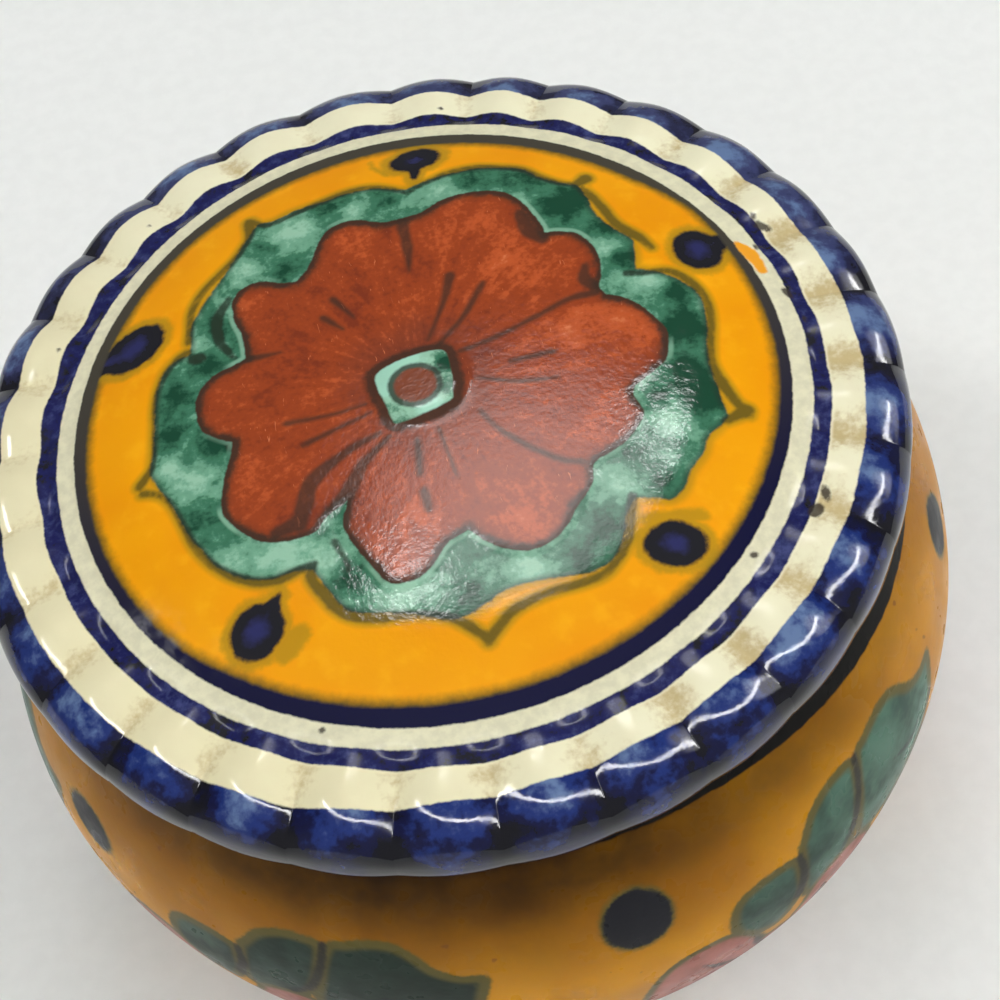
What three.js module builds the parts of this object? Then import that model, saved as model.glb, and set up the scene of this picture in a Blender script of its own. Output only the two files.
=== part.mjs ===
// Round covered trinket box in hand-painted, tin-glazed earthenware: a bellied
// bowl on a foot ring, and a loose fluted lid with a locating ring under it.
// Millimetres, +Z up. The origin is the middle of the foot ring's underside.

import * as THREE from 'three';

// Bowl, outside
const BELLY_RADIUS = 60.7; // widest radius, at the belly
const BELLY_HEIGHT = 37; // height of the belly above the table
const BOWL_HEIGHT = 67.4; // height of the rim
const RIM_RADIUS = 49.5; // outer radius of the rim
const RIM_WALL = 5; // width of the rim's ring
const RIM_ROUND = 1.2; // rounding of the rim's edges
const FOOT_RADIUS = 42; // outer radius of the foot ring's flat underside
const FOOT_WIDTH = 6; // width of that flat ring
const FOOT_HEIGHT = 3; // height of the foot ring
const FOOT_FLARE = 2.5; // how far the belly starts outside the foot ring
const FOOT_RECESS = 2.2; // depth of the hollow inside the foot ring
const RECESS_LEAN = 1.1; // how far the hollow's side leans in

// Bowl, inside
const BELLY_WALL = 5; // wall thickness at the belly
const FLOOR_THICKNESS = 6.3; // clay between the floor and the foot's hollow
const CORNER_HEIGHT = 9; // height of the curve from the wall into the floor
const CORNER_LEAN = 6.8; // how far in the wall would meet the floor without it
const CORNER_WIDTH = 17; // how far the curve reaches in along the floor

// Lid, seen from above
const LID_OVERHANG = 6.5; // how far the lid's edge reaches past the rim
const FLANGE_THICKNESS = 5.2; // thickness of the flange at the foot of the shoulder
const FLANGE_WIDTH = 13.2; // from the middle of the shoulder to the edge
const EDGE_FALL = 2.5; // how far its upper face curves down to the edge
const LIP_ROUND = 1.9; // width of the edge's rounding above
const LIP_DROOP = 2.4; // how far the edge hangs below the seat
const LIP_UNDER = 0.9; // rounding of the edge below
const LIP_CLEARANCE = 0.4; // between the drooping part and the rim, where the lid is pushed over
const SHOULDER_WIDTH = 10; // width of the slope between flange and crown
const SHOULDER_RISE = 2.3; // height of that slope
const CROWN_RISE = 2.2; // height of the domed middle above the shoulder
const BUTTON_RADIUS = 5.6; // low round button in the middle of the lid
const BUTTON_RISE = 0.5; // its height above the dome

// Lid, flutes round the edge
const FLUTES = 30; // number of lobes
const FLUTE_TURN = 2.05; // degrees from +X to the first valley
const FLUTE_LENGTH = 11.7; // how far the flutes run in from the edge
const FLUTE_RUN = 4.2; // how far from their inner end they reach full depth
const FLUTE_DEPTH = 1.4; // how deep the valleys are
const FLUTE_SCALLOP = 0.5; // how far the valleys draw the edge in

// Lid, underneath
const LID_WALL = 4.3; // thickness of the domed middle
const RING_WALL = 4; // thickness of the locating ring
const RING_DEPTH = 6; // how deep it reaches into the bowl's mouth
const RING_ROUND = 1; // chamfer of its lower edge

// How the lid lies on the bowl
const SEAT_GAP = 0.3; // under the flange, over the rim
const RING_CLEARANCE = 2; // all round between locating ring and mouth
const RING_SIDE_GAP = 0.7; // what is left of it where the lid is pushed over
const SHIFT_TURN = 141; // degrees from +X to the way it is pushed over

// Fineness of the faceted solids
const BOWL_SEGMENTS = 80;
const BELLY_STEPS = 6;
const CORNER_STEPS = 3;
const STEPS_PER_FLUTE = 4;
const BUTTON_STEPS = 3;
const CROWN_STEPS = 3;
const SHOULDER_STEPS = 5;
const FLANGE_STEPS = 4;

const floorHeight = FOOT_RECESS + FLOOR_THICKNESS;
const wallFootRadius = FOOT_RADIUS + FOOT_FLARE;
const mouthRadius = RIM_RADIUS - RIM_WALL;
const ringRadius = mouthRadius - RING_CLEARANCE;
const lidRadius = RIM_RADIUS + LID_OVERHANG;
const lidShift = RING_CLEARANCE - RING_SIDE_GAP;
const seatRadius = RIM_RADIUS + lidShift + LIP_CLEARANCE;
const shoulderRadius = lidRadius - FLANGE_WIDTH;
const shoulderStart = shoulderRadius - SHOULDER_WIDTH / 2;
const shoulderEnd = shoulderRadius + SHOULDER_WIDTH / 2;
const fluteStart = lidRadius - FLUTE_LENGTH;

// A point of a turned section, by its radius and its height.
function at(radius, height) {
  return new THREE.Vector2(radius, height);
}

// Evenly spaced values after `from`, up to and with `to`.
function spread(from, to, steps) {
  return Array.from({ length: steps }, (_, i) => from + ((to - from) * (i + 1)) / steps);
}

// A rounded corner: points on a quadratic curve that leaves `from` towards
// `corner` and comes in to `to` from it.
function rounded(from, corner, to, steps) {
  return new THREE.QuadraticBezierCurve(from, corner, to).getPoints(steps);
}

// Half height of the upright ellipse that is `belly` wide from the axis and has
// narrowed to `radius` at `height` above or below its middle.
function halfHeight(belly, radius, height) {
  return height / Math.sqrt(1 - (radius / belly) ** 2);
}

// Points on such an ellipse round the belly, from one height to another, both
// counted from the belly.
function bellyCurve(belly, half, from, to, steps) {
  const start = Math.asin(from / half);
  const angles = [start, ...spread(start, Math.asin(to / half), steps)];
  return angles.map((angle) => at(belly * Math.cos(angle), BELLY_HEIGHT + half * Math.sin(angle)));
}

// Underside and outside of the bowl, from the axis out and up to the rim.
function bowlOutside() {
  const below = BELLY_HEIGHT - FOOT_HEIGHT;
  const above = BOWL_HEIGHT - RIM_ROUND - BELLY_HEIGHT;
  const lower = halfHeight(BELLY_RADIUS, wallFootRadius, below);
  const upper = halfHeight(BELLY_RADIUS, RIM_RADIUS, above);
  const wall = bellyCurve(BELLY_RADIUS, upper, 0, above, BELLY_STEPS);
  const footInside = FOOT_RADIUS - FOOT_WIDTH;
  return [
    at(0, FOOT_RECESS),
    at(footInside - RECESS_LEAN, FOOT_RECESS),
    at(footInside, 0),
    at(FOOT_RADIUS, 0),
    ...bellyCurve(BELLY_RADIUS, lower, -below, 0, BELLY_STEPS),
    ...wall.slice(1, -1),
    ...rounded(wall[BELLY_STEPS], at(RIM_RADIUS, BOWL_HEIGHT), at(RIM_RADIUS - RIM_ROUND, BOWL_HEIGHT), 2),
  ];
}

// Inside of the bowl, from the rim down and in to the axis.
function bowlInside() {
  const belly = BELLY_RADIUS - BELLY_WALL;
  const above = BOWL_HEIGHT - RIM_ROUND - BELLY_HEIGHT;
  const below = BELLY_HEIGHT - floorHeight - CORNER_HEIGHT;
  const upper = halfHeight(belly, mouthRadius, above);
  const lower = halfHeight(belly, wallFootRadius - BELLY_WALL, BELLY_HEIGHT - FOOT_HEIGHT - BELLY_WALL);
  const wall = bellyCurve(belly, upper, above, 0, BELLY_STEPS - 1);
  const base = bellyCurve(belly, lower, 0, -below, CORNER_STEPS);
  const foot = base[CORNER_STEPS];
  const corner = at(foot.x - CORNER_LEAN, floorHeight);
  return [
    ...rounded(at(mouthRadius + RIM_ROUND, BOWL_HEIGHT), at(mouthRadius, BOWL_HEIGHT), wall[0], 2),
    ...wall.slice(1),
    ...base.slice(1, -1),
    ...rounded(foot, corner, at(foot.x - CORNER_WIDTH, floorHeight), CORNER_STEPS),
    at(0, floorHeight),
  ];
}

// Thrown bowl: its section turned once round the axis.
function bowlGeometry() {
  const section = [...bowlOutside(), ...bowlInside()];
  return new THREE.LatheGeometry(section, BOWL_SEGMENTS).rotateX(Math.PI / 2);
}

// Height of the lid's upper face over its seat on the rim: a flange that curves
// down towards its edge, a smooth slope up, and a domed middle.
function lidTop(radius) {
  const slope = THREE.MathUtils.smoothstep(radius, shoulderStart, shoulderEnd);
  const fall = Math.max(0, (radius - shoulderEnd) / (lidRadius - shoulderEnd)) ** 2;
  const dome = Math.max(0, 1 - (radius / shoulderRadius) ** 2);
  return FLANGE_THICKNESS - EDGE_FALL * fall + SHOULDER_RISE * (1 - slope) + CROWN_RISE * dome;
}

// Upper face of the lid, from the axis out to where its edge rounds over.
function lidOutside() {
  const buttonTop = lidTop(0) + BUTTON_RISE;
  const buttonEdge = at(BUTTON_RADIUS, lidTop(BUTTON_RADIUS));
  const radii = [
    ...spread(BUTTON_RADIUS, shoulderStart, CROWN_STEPS),
    ...spread(shoulderStart, shoulderEnd, SHOULDER_STEPS),
    ...spread(shoulderEnd, lidRadius - LIP_ROUND, FLANGE_STEPS),
  ];
  return [
    ...rounded(at(0, buttonTop), at(BUTTON_RADIUS, buttonTop), buttonEdge, BUTTON_STEPS),
    ...radii.map((radius) => at(radius, lidTop(radius))),
  ];
}

// Edge and underside of the lid, with the locating ring, in to the axis.
function lidInside() {
  const edgeTop = lidTop(lidRadius);
  const edgeStart = at(lidRadius - LIP_ROUND, lidTop(lidRadius - LIP_ROUND));
  const edgeMiddle = at(lidRadius, (edgeTop - LIP_DROOP) / 2);
  const edgeLow = at(lidRadius, LIP_UNDER - LIP_DROOP);
  const edgeEnd = at(lidRadius - LIP_UNDER, -LIP_DROOP);
  const ringInside = ringRadius - RING_WALL;
  const under = [ringInside, ...spread(ringInside, 0, 2)];
  return [
    ...rounded(edgeStart, at(lidRadius, edgeTop), edgeMiddle, 2).slice(1),
    ...rounded(edgeLow, at(lidRadius, -LIP_DROOP), edgeEnd, 2),
    at(seatRadius, 0),
    at(ringRadius, 0),
    at(ringRadius, RING_ROUND - RING_DEPTH),
    at(ringRadius - RING_ROUND, -RING_DEPTH),
    at(ringInside + RING_ROUND, -RING_DEPTH),
    at(ringInside, RING_ROUND - RING_DEPTH),
    ...under.map((radius) => at(radius, lidTop(radius) - LID_WALL)),
  ];
}

// Moulded lid: its section turned round the axis, then fluted. The flutes are
// waves, one for each lobe. Their valleys are pressed down and drawn in, and run
// out to nothing at the flutes' inner end.
function lidGeometry() {
  const section = [...lidOutside(), ...lidInside()].reverse();
  const firstValley = THREE.MathUtils.degToRad(FLUTE_TURN);
  const geometry = new THREE.LatheGeometry(section, FLUTES * STEPS_PER_FLUTE);
  geometry.rotateX(Math.PI / 2).rotateZ(Math.PI / 2 + firstValley);
  const position = geometry.attributes.position;
  const point = new THREE.Vector3();
  for (let i = 0; i < position.count; i += 1) {
    point.fromBufferAttribute(position, i);
    const radius = Math.hypot(point.x, point.y);
    const turn = Math.atan2(point.y, point.x) - firstValley;
    const reach = THREE.MathUtils.smoothstep(radius, fluteStart, fluteStart + FLUTE_RUN);
    const valley = reach * Math.cos((turn * FLUTES) / 2) ** 2;
    const narrower = 1 - (FLUTE_SCALLOP * valley) / lidRadius;
    const lower = (FLUTE_DEPTH * valley * Math.max(0, point.z)) / FLANGE_THICKNESS;
    position.setXYZ(i, point.x * narrower, point.y * narrower, point.z - lower);
  }
  return geometry;
}

function bowl() {
  const glaze = new THREE.MeshStandardMaterial({ color: 0xb8741c, roughness: 0.22, metalness: 0 });
  const mesh = new THREE.Mesh(bowlGeometry(), glaze);
  mesh.name = 'bowl';
  return mesh;
}

// The lid lies on the rim, pushed over sideways as far as its ring lets it.
function lid() {
  const glaze = new THREE.MeshStandardMaterial({ color: 0xe89a08, roughness: 0.18, metalness: 0 });
  const mesh = new THREE.Mesh(lidGeometry(), glaze);
  mesh.name = 'lid';
  const turn = THREE.MathUtils.degToRad(SHIFT_TURN);
  mesh.position.set(lidShift * Math.cos(turn), lidShift * Math.sin(turn), BOWL_HEIGHT + SEAT_GAP);
  return mesh;
}

const trinketBox = new THREE.Group();
trinketBox.name = 'trinket_box';
trinketBox.add(bowl(), lid());

export default trinketBox;
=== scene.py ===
import math

import bpy
import numpy as np
from mathutils import Matrix


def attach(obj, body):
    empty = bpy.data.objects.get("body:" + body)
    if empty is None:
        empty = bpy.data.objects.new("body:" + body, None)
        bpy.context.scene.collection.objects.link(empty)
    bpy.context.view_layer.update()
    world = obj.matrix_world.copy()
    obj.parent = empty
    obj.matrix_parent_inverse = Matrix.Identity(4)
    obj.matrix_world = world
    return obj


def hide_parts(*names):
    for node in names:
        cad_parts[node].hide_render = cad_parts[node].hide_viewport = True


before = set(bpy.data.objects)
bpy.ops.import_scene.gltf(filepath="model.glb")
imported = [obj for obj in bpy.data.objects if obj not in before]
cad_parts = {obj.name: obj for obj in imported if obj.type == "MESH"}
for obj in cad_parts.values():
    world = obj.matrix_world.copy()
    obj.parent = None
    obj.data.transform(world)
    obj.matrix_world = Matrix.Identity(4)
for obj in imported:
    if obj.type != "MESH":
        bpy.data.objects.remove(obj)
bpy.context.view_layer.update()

# Bowl
# A bellied bowl of red earthenware, thrown on a wheel and turned at the foot while it was
# leather hard. It is dipped in an opaque cream glaze, which is wiped off the foot ring,
# painted by brush with coloured glazes, and fired once more.

MM = 0.001
BELLY_RADIUS = 60.7
BELLY_HEIGHT = 37.0
RIM_HEIGHT = 67.4
RIM_RADIUS = 49.5
MOUTH_RADIUS = 44.5
RIM_ROUND = 1.2
FOOT_RADIUS = 42.0
FOOT_INSIDE = 36.0
FOOT_HEIGHT = 3.0
FOOT_FLARE = 2.5
FOOT_RECESS = 2.2
FOOT_ROUND = 3.0
RECESS_LEAN = 1.1
WALL = 5.0
FLOOR_HEIGHT = 8.5
CORNER_HEIGHT = 9.0
CORNER_LEAN = 6.8
CORNER_WIDTH = 17.0
POLE_RADIUS = 1.2  # of the points next to a skin's middle point
THROWING_RING = 5.5  # from one finger ring inside to the next
THROWING_DEPTH = 0.16
THROWN_FROM = 20.0  # radius and height where the finger rings begin
HAND_WAVER = 0.18  # how far the thrown wall wavers inwards
WAVER_TOP = 64.0
BOWL_TURNS = 720

BOWL_MOTIFS = (242.2, 308.2, 7.0, 65.8, 124.6, 183.4)  # degrees from +X
MOTIF_LEFT, MOTIF_RIGHT = -46, 26  # how far a motif reaches, in millimetres round the belly
BOWL_DOTS = ((277, 50.2, 4.6, 5.0, 15), (341, 50.0, 4.2, 4.2, 0), (208, 48.0, 4.6, 3.6, -20),
             (40, 49.5, 4.0, 4.4, 0), (98.8, 50.2, 4.2, 4.2, 12), (157.6, 49.3, 4.0, 4.5, -8))
DOT_REACH = 12
DEGREE = 1.06  # millimetres round the belly for one degree
NECK_BAND = 61.5
NECK_DROP = 3.0  # how much lower the neck's dark band reaches at the front right
NECK_DROP_MIDDLE, NECK_DROP_SPREAD = -36, 30  # degrees
FOOT_BAND = 5.2
BARE_HEIGHT = 1.2
SHADE_MIDDLE, SHADE_SPREAD = -105, 58  # degrees round the painted shade under the lid at the front
OUTSIDE_PAINT = -5.0  # depth of a point that lies outside every painted shape


def half_height(widest, radius, rise):
    """Half height of the upright ellipse of radius `widest` that has narrowed to `radius` at `rise`."""
    return rise / math.sqrt(1 - (radius / widest) ** 2)


def belly_arc(widest, half, start, end, steps):
    """Section of the belly between two heights counted from its middle, evenly by angle:
    radius = widest * cos(angle), height = middle + half * sin(angle)."""
    angle = np.linspace(math.asin(start / half), math.asin(end / half), steps + 1)
    return np.column_stack([widest * np.cos(angle), BELLY_HEIGHT + half * np.sin(angle)])


def bend(start, corner, end, steps):
    """A rounded corner of a section: (1-t)^2 * start + 2t(1-t) * corner + t^2 * end."""
    t = np.linspace(0, 1, steps + 1)[:, None]
    return (1 - t) ** 2 * np.array(start) + 2 * t * (1 - t) * np.array(corner) + t ** 2 * np.array(end)


def joined(*parts):
    """One section from parts that begin where the one before ends."""
    return np.vstack([parts[0], *(part[1:] for part in parts[1:])])


def bowl_section():
    """Radius and height from near the middle of the floor up the inside, over the rim, down the
    outside and under the foot: two ellipses for each wall, rounded corners between them."""
    rim_base = RIM_HEIGHT - RIM_ROUND
    rise = rim_base - BELLY_HEIGHT
    fall = BELLY_HEIGHT - FOOT_HEIGHT
    inside = BELLY_RADIUS - WALL
    foot = FOOT_RADIUS + FOOT_FLARE
    foot_in = FOOT_INSIDE + FOOT_ROUND
    recess = FOOT_INSIDE - RECESS_LEAN
    base = belly_arc(inside, half_height(inside, foot - WALL, fall - WALL),
                     CORNER_HEIGHT + FLOOR_HEIGHT - BELLY_HEIGHT, 0, 7)
    corner = base[0] - [CORNER_LEAN, CORNER_HEIGHT]
    flat = base[0] - [CORNER_WIDTH, CORNER_HEIGHT]
    inner = half_height(inside, MOUTH_RADIUS, rise)
    outer = half_height(BELLY_RADIUS, RIM_RADIUS, rise)
    lower = half_height(BELLY_RADIUS, foot, fall)
    rim_in, rim_out = MOUTH_RADIUS + RIM_ROUND, RIM_RADIUS - RIM_ROUND
    return joined(
        bend((POLE_RADIUS, FLOOR_HEIGHT), (flat[0] / 2, FLOOR_HEIGHT), flat, 11),
        bend(flat, corner, base[0], 6),
        base,
        belly_arc(inside, inner, 0, rise, 12),
        bend((MOUTH_RADIUS, rim_base), (MOUTH_RADIUS, RIM_HEIGHT), (rim_in, RIM_HEIGHT), 3),
        bend((rim_in, RIM_HEIGHT), (RIM_RADIUS - 2, RIM_HEIGHT), (rim_out, RIM_HEIGHT), 2),
        bend((rim_out, RIM_HEIGHT), (RIM_RADIUS, RIM_HEIGHT), (RIM_RADIUS, rim_base), 3),
        belly_arc(BELLY_RADIUS, outer, rise, 0, 40),
        belly_arc(BELLY_RADIUS, lower, 0, -fall, 38),
        bend((foot, FOOT_HEIGHT), (FOOT_RADIUS, 0), (foot_in, 0), 4),
        bend((foot_in, 0), (FOOT_INSIDE, 0), (recess, FOOT_RECESS), 4),
        bend((recess, FOOT_RECESS), (20, FOOT_RECESS), (POLE_RADIUS, FOOT_RECESS), 5),
    )


def skin(name, grid, top, bottom):
    """A closed skin on a grid of rows by turns. Each row joins the next by four-sided faces, the
    last turn joins the first, and a fan of triangles closes each end on its middle point."""
    rows, turns = grid.shape[:2]
    row = np.arange(rows - 1)[:, None] * turns
    turn = np.arange(turns)
    after = (turn + 1) % turns
    quads = np.stack([row + turn, row + turns + turn, row + turns + after, row + after], axis=-1)
    last = (rows - 1) * turns
    fans = np.vstack([
        np.column_stack([np.full(turns, rows * turns), turn, after]),
        np.column_stack([np.full(turns, rows * turns + 1), last + after, last + turn]),
    ])
    mesh = bpy.data.meshes.new(name)
    places = np.vstack([grid.reshape(-1, 3), [top], [bottom]]) * MM
    mesh.from_pydata(places.tolist(), [], quads.reshape(-1, 4).tolist() + fans.tolist())
    mesh.shade_smooth()
    piece = bpy.data.objects.new(name, mesh)
    bpy.context.scene.collection.objects.link(piece)
    return piece


def lay(piece, fields):
    """Stores fields of numbers on the skin, each with one number for each point; the two end
    points take the mean of the row next to them."""
    for name, values in fields.items():
        layer = piece.data.attributes.new(name, "FLOAT", "POINT")
        layer.data.foreach_set("value", np.append(values.ravel(), [values[0].mean(), values[-1].mean()]))


def smooth_step(value, low, high):
    """3t^2 - 2t^3 of where the value lies between low and high."""
    t = np.clip((value - low) / (high - low), 0, 1)
    return t * t * (3 - 2 * t)


def brushed(points, closed=False, steps=6):
    """A smooth line through given points, as a brush draws it: each span is the cubic that
    leaves its ends along the line between their neighbours."""
    p = np.array(points, float)
    first, last = (p[-1:], p[:2]) if closed else (2 * p[:1] - p[1:2], 2 * p[-1:] - p[-2:-1])
    q = np.vstack([first, p, last])
    a, b, c, d = (q[i:len(q) - 3 + i, None, :] for i in range(4))
    t = np.linspace(0, 1, steps, endpoint=False)[None, :, None]
    spans = b + ((c - a) * t + (2 * a - 5 * b + 4 * c - d) * t ** 2 + (3 * b - a - 3 * c + d) * t ** 3) / 2
    line = spans.reshape(-1, 2)
    return line if closed else np.vstack([line, p[-1:]])


def stroke(points, widths):
    """A brush stroke: its smooth middle line, and half widths spread evenly along it."""
    line = brushed(points) if len(points) > 2 else np.array(points, float)
    share = np.linspace(0, 1, len(line))
    return np.column_stack([line, np.interp(share, np.linspace(0, 1, len(widths)), widths)])


def around(line, x, y, reach):
    """Which points lie in the upright box round a line, widened by a reach."""
    low, high = line[:, :2].min(0) - reach, line[:, :2].max(0) + reach
    return (x > low[0]) & (x < high[0]) & (y > low[1]) & (y < high[1])


def beside(x, y, start, end):
    """Where along a straight piece the nearest place to each point lies, from 0 to 1, and how far
    the point is from it."""
    dx, dy = end[0] - start[0], end[1] - start[1]
    t = np.clip(((x - start[0]) * dx + (y - start[1]) * dy) / (dx * dx + dy * dy), 0, 1)
    return t, np.hypot(x - start[0] - t * dx, y - start[1] - t * dy)


def depth_in_strokes(strokes, x, y, reach=4.0):
    """How deep each point lies inside the nearest of some strokes, below zero outside: the half
    width there less the distance to the stroke's nearest straight piece."""
    depth = np.full(x.shape, -reach)
    for line in (stroke(points, widths) for points, widths in strokes):
        near = around(line, x, y, reach)
        px, py, deepest = x[near], y[near], depth[near]
        for start, end in zip(line[:-1], line[1:]):
            t, away = beside(px, py, start, end)
            deepest = np.maximum(deepest, start[2] + t * (end[2] - start[2]) - away)
        depth[near] = deepest
    return depth


def depth_in_shape(outline, x, y, reach=5.0):
    """How deep each point lies inside a closed outline, below zero outside: the distance to its
    nearest piece, signed by how often a line to the right of the point crosses the outline."""
    near = around(outline, x, y, reach)
    px, py = x[near], y[near]
    nearest, inside = np.full(px.shape, np.inf), np.zeros(px.shape, bool)
    for start, end in zip(outline, np.roll(outline, -1, axis=0)):
        if (start != end).any():
            nearest = np.minimum(nearest, beside(px, py, start, end)[1])
        if start[1] != end[1]:
            crossing = start[0] + (py - start[1]) * (end[0] - start[0]) / (end[1] - start[1])
            inside ^= ((start[1] > py) != (end[1] > py)) & (px < crossing)
    depth = np.full(x.shape, -reach)
    depth[near] = np.where(inside, nearest, -nearest)
    return np.maximum(depth, -reach)


def depth_in_oval(x, y, middle_x, middle_y, wide, high, tilt):
    """How deep each point lies inside a tilted oval: (1 - its distance in oval radii) * the
    shorter radius."""
    turn = math.radians(tilt)
    along = (x - middle_x) * math.cos(turn) + (y - middle_y) * math.sin(turn)
    across = (y - middle_y) * math.cos(turn) - (x - middle_x) * math.sin(turn)
    return (1 - np.hypot(along / wide, across / high)) * min(wide, high)


LEAVES = (
    ((-21, 34), (-22.9, 38), (-22.7, 42.5), (-20.9, 45), (-17.7, 45.8), (-14.5, 45.6), (-12.1, 44.6),
     (-11.8, 41), (-12.5, 36), (-16, 31)),
    ((-12.3, 44.6), (-11.3, 47), (-9.2, 49.8), (-6, 51.5), (-2.9, 51.7), (-0.2, 50.8), (-0.6, 46),
     (-2.4, 40), (-6, 34), (-12.6, 34)),
    ((-0.2, 50.8), (2.4, 52), (5.6, 52.8), (8.8, 52.5), (11.2, 50.7), (13, 48.6), (15.7, 47.3), (18.9, 47),
     (18.3, 43), (16.5, 38), (11, 34), (3, 33), (-3, 36), (-2, 44)),
    ((3, 31), (8, 34.5), (14, 35.5), (18.5, 33), (19.5, 28), (16.5, 22), (10, 18.5), (4, 20)),
    ((2, 17), (8, 19), (13, 16.5), (14, 11.5), (10, 7), (4, 6.5), (0, 10)),
)
BOWL_PETALS = (
    ((-17.6, 29), (-18.8, 32.5), (-20.4, 35.8), (-22.5, 38.2), (-25.7, 39.1), (-28.8, 38.9), (-32, 37),
     (-34.1, 33), (-35.2, 28)),
    ((-35.2, 28), (-38, 25), (-38.8, 20.5), (-36.5, 16.5), (-32, 15)),
    ((-32, 15), (-31, 10.5), (-27, 7.2), (-22, 6.8), (-18.5, 9.5)),
    ((-18.5, 9.5), (-14, 6), (-8, 6.2), (-3.5, 9), (-2.5, 13)),
    ((-2.5, 13), (2.5, 14.5), (5.3, 19), (4.6, 24.5), (1, 28)),
    ((1, 28), (1.2, 31.5), (-0.2, 34.5), (-2.3, 36.5), (-5, 37.4), (-8.7, 36.6), (-11.3, 34.5),
     (-12.6, 31), (-14, 28)),
)
BOWL_LINES = (
    (((-17.5, 24.5), (-19, 29), (-19.5, 32)), (0.5, 0.7, 0.2)),
    (((-12, 24), (-10, 27), (-6.5, 31.5)), (0.6, 0.5, 0.2)),
    (((-9.5, 20), (-4, 20.5), (1, 22)), (0.5, 0.5, 0.2)),
    (((-12, 16.5), (-9, 13), (-7.5, 9.5)), (0.5, 0.5, 0.2)),
    (((-18, 15.5), (-21.5, 12.5), (-23.5, 10)), (0.5, 0.5, 0.2)),
    (((-20.5, 20), (-27, 20.5), (-33, 21.5)), (0.5, 0.6, 0.2)),
    (((-20, 23.5), (-24, 28), (-27, 33)), (0.4, 0.6, 0.2)),
    (((-12.1, 44.6), (-12, 41), (-13.2, 36)), (0.5, 0.7, 0.8)),
    (((-0.2, 50.8), (-1, 46.5), (-3, 41), (-6, 37.5)), (0.5, 0.6, 0.6, 0.4)),
    (((6, 41.5), (10, 39.5), (13, 40.5)), (0.3, 0.4, 0.2)),
)
BOWL_HEART = (-15.4, 20.2, 4.6, 4.3, 10)

bowl_profile = bowl_section()
bowl_angle = np.radians(np.arange(BOWL_TURNS) * 360 / BOWL_TURNS)
bowl_radius, bowl_height = (bowl_profile[:, k][:, None] + 0 * bowl_angle for k in (0, 1))
bowl_rows = np.arange(len(bowl_profile))[:, None] + 0 * bowl_angle
rim_row = int(np.argmax(bowl_profile[:, 1])) + 2
foot_row = int(np.argmin(bowl_profile[:, 1]))
outside = (bowl_rows > rim_row) & (bowl_rows < foot_row - 2)
inside_wall = (bowl_rows < rim_row - 8) & (bowl_radius > THROWN_FROM) & (bowl_height > 18)
floor = (bowl_rows < 16) & (bowl_radius < MOUTH_RADIUS - 0.5)
waver = HAND_WAVER * (0.5 + 0.3 * np.sin(3 * bowl_angle + 0.07 * bowl_height)
                      + 0.2 * np.sin(0.45 * bowl_height)) * (outside & (bowl_height < WAVER_TOP))
finger_rings = THROWING_DEPTH * (0.5 - 0.5 * np.cos(
    2 * np.pi * (bowl_height + bowl_radius) / THROWING_RING + bowl_angle))
worked_radius = bowl_radius - waver + finger_rings * inside_wall
bowl_grid = np.stack([worked_radius * np.cos(bowl_angle), worked_radius * np.sin(bowl_angle),
                      bowl_height - finger_rings * floor], axis=-1)
bowl = skin("bowl_glazed", bowl_grid, (0, 0, FLOOR_HEIGHT), (0, 0, FOOT_RECESS))


def degrees_from(middle):
    """Degrees round the bowl from a place, -180 to 180, for every point."""
    return (np.degrees(bowl_angle) - middle + 180) % 360 - 180 + 0 * bowl_height


bowl_paint = {name: np.full(bowl_radius.shape, OUTSIDE_PAINT)
              for name in ("leaf", "petal", "line", "heart", "dot")}
bowl_flower = np.vstack([brushed(petal) for petal in BOWL_PETALS])
bowl_leaves = [brushed(leaf, True) for leaf in LEAVES]
for number, middle in enumerate(BOWL_MOTIFS):
    along = degrees_from(middle) * DEGREE
    here = outside & (along > MOTIF_LEFT) & (along < MOTIF_RIGHT)
    u, v = along[here], bowl_height[here]
    u = u + 0.5 * math.sin(2.3 * number) * np.sin(v / 9 + number)
    v = v + 0.6 * np.sin(u / 8 + 1.7 * number) * (v < 40)
    depths = {
        "leaf": np.maximum.reduce([depth_in_shape(leaf, u, v) for leaf in bowl_leaves]),
        "petal": depth_in_shape(bowl_flower, u, v),
        "line": depth_in_strokes(BOWL_LINES, u, v),
        "heart": depth_in_oval(u, v, *BOWL_HEART),
    }
    for name, depth in depths.items():
        bowl_paint[name][here] = np.maximum(bowl_paint[name][here], depth)
for middle, *oval in BOWL_DOTS:
    along = degrees_from(middle) * DEGREE
    here = outside & (abs(along) < DOT_REACH)
    depth = depth_in_oval(along[here], bowl_height[here], 0, *oval)
    bowl_paint["dot"][here] = np.maximum(bowl_paint["dot"][here], depth)
# Painted shade: how strongly the lid's overhang shades the bowl round the front, and a tenth as much
# elsewhere.
front = 0.1 + 0.9 * np.exp(-(degrees_from(SHADE_MIDDLE) / SHADE_SPREAD) ** 2)
lay(bowl, {
    **bowl_paint,
    "outside": np.where(outside, 1.0, 0.0),
    "bare_clay": np.where((bowl_height < BARE_HEIGHT) & (bowl_rows > rim_row), 1.0, 0.0),
    "height": bowl_height,
    "neck": bowl_height + NECK_DROP * np.exp(-(degrees_from(NECK_DROP_MIDDLE) / NECK_DROP_SPREAD) ** 2),
    # Painted shade under the lid: it grows up the wall towards the lid and round the front.
    "painted_shade": smooth_step(bowl_height, 38, 58) * front,
    "front": front,
})


def tint(red, green, blue):
    """A colour written as a screen shows it, 0 to 255, as the linear values that a shader takes."""
    share = np.array([red, green, blue]) / 255
    linear = np.where(share < 0.04045, share / 12.92, ((share + 0.055) / 1.055) ** 2.4)
    return (*linear.tolist(), 1.0)


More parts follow.
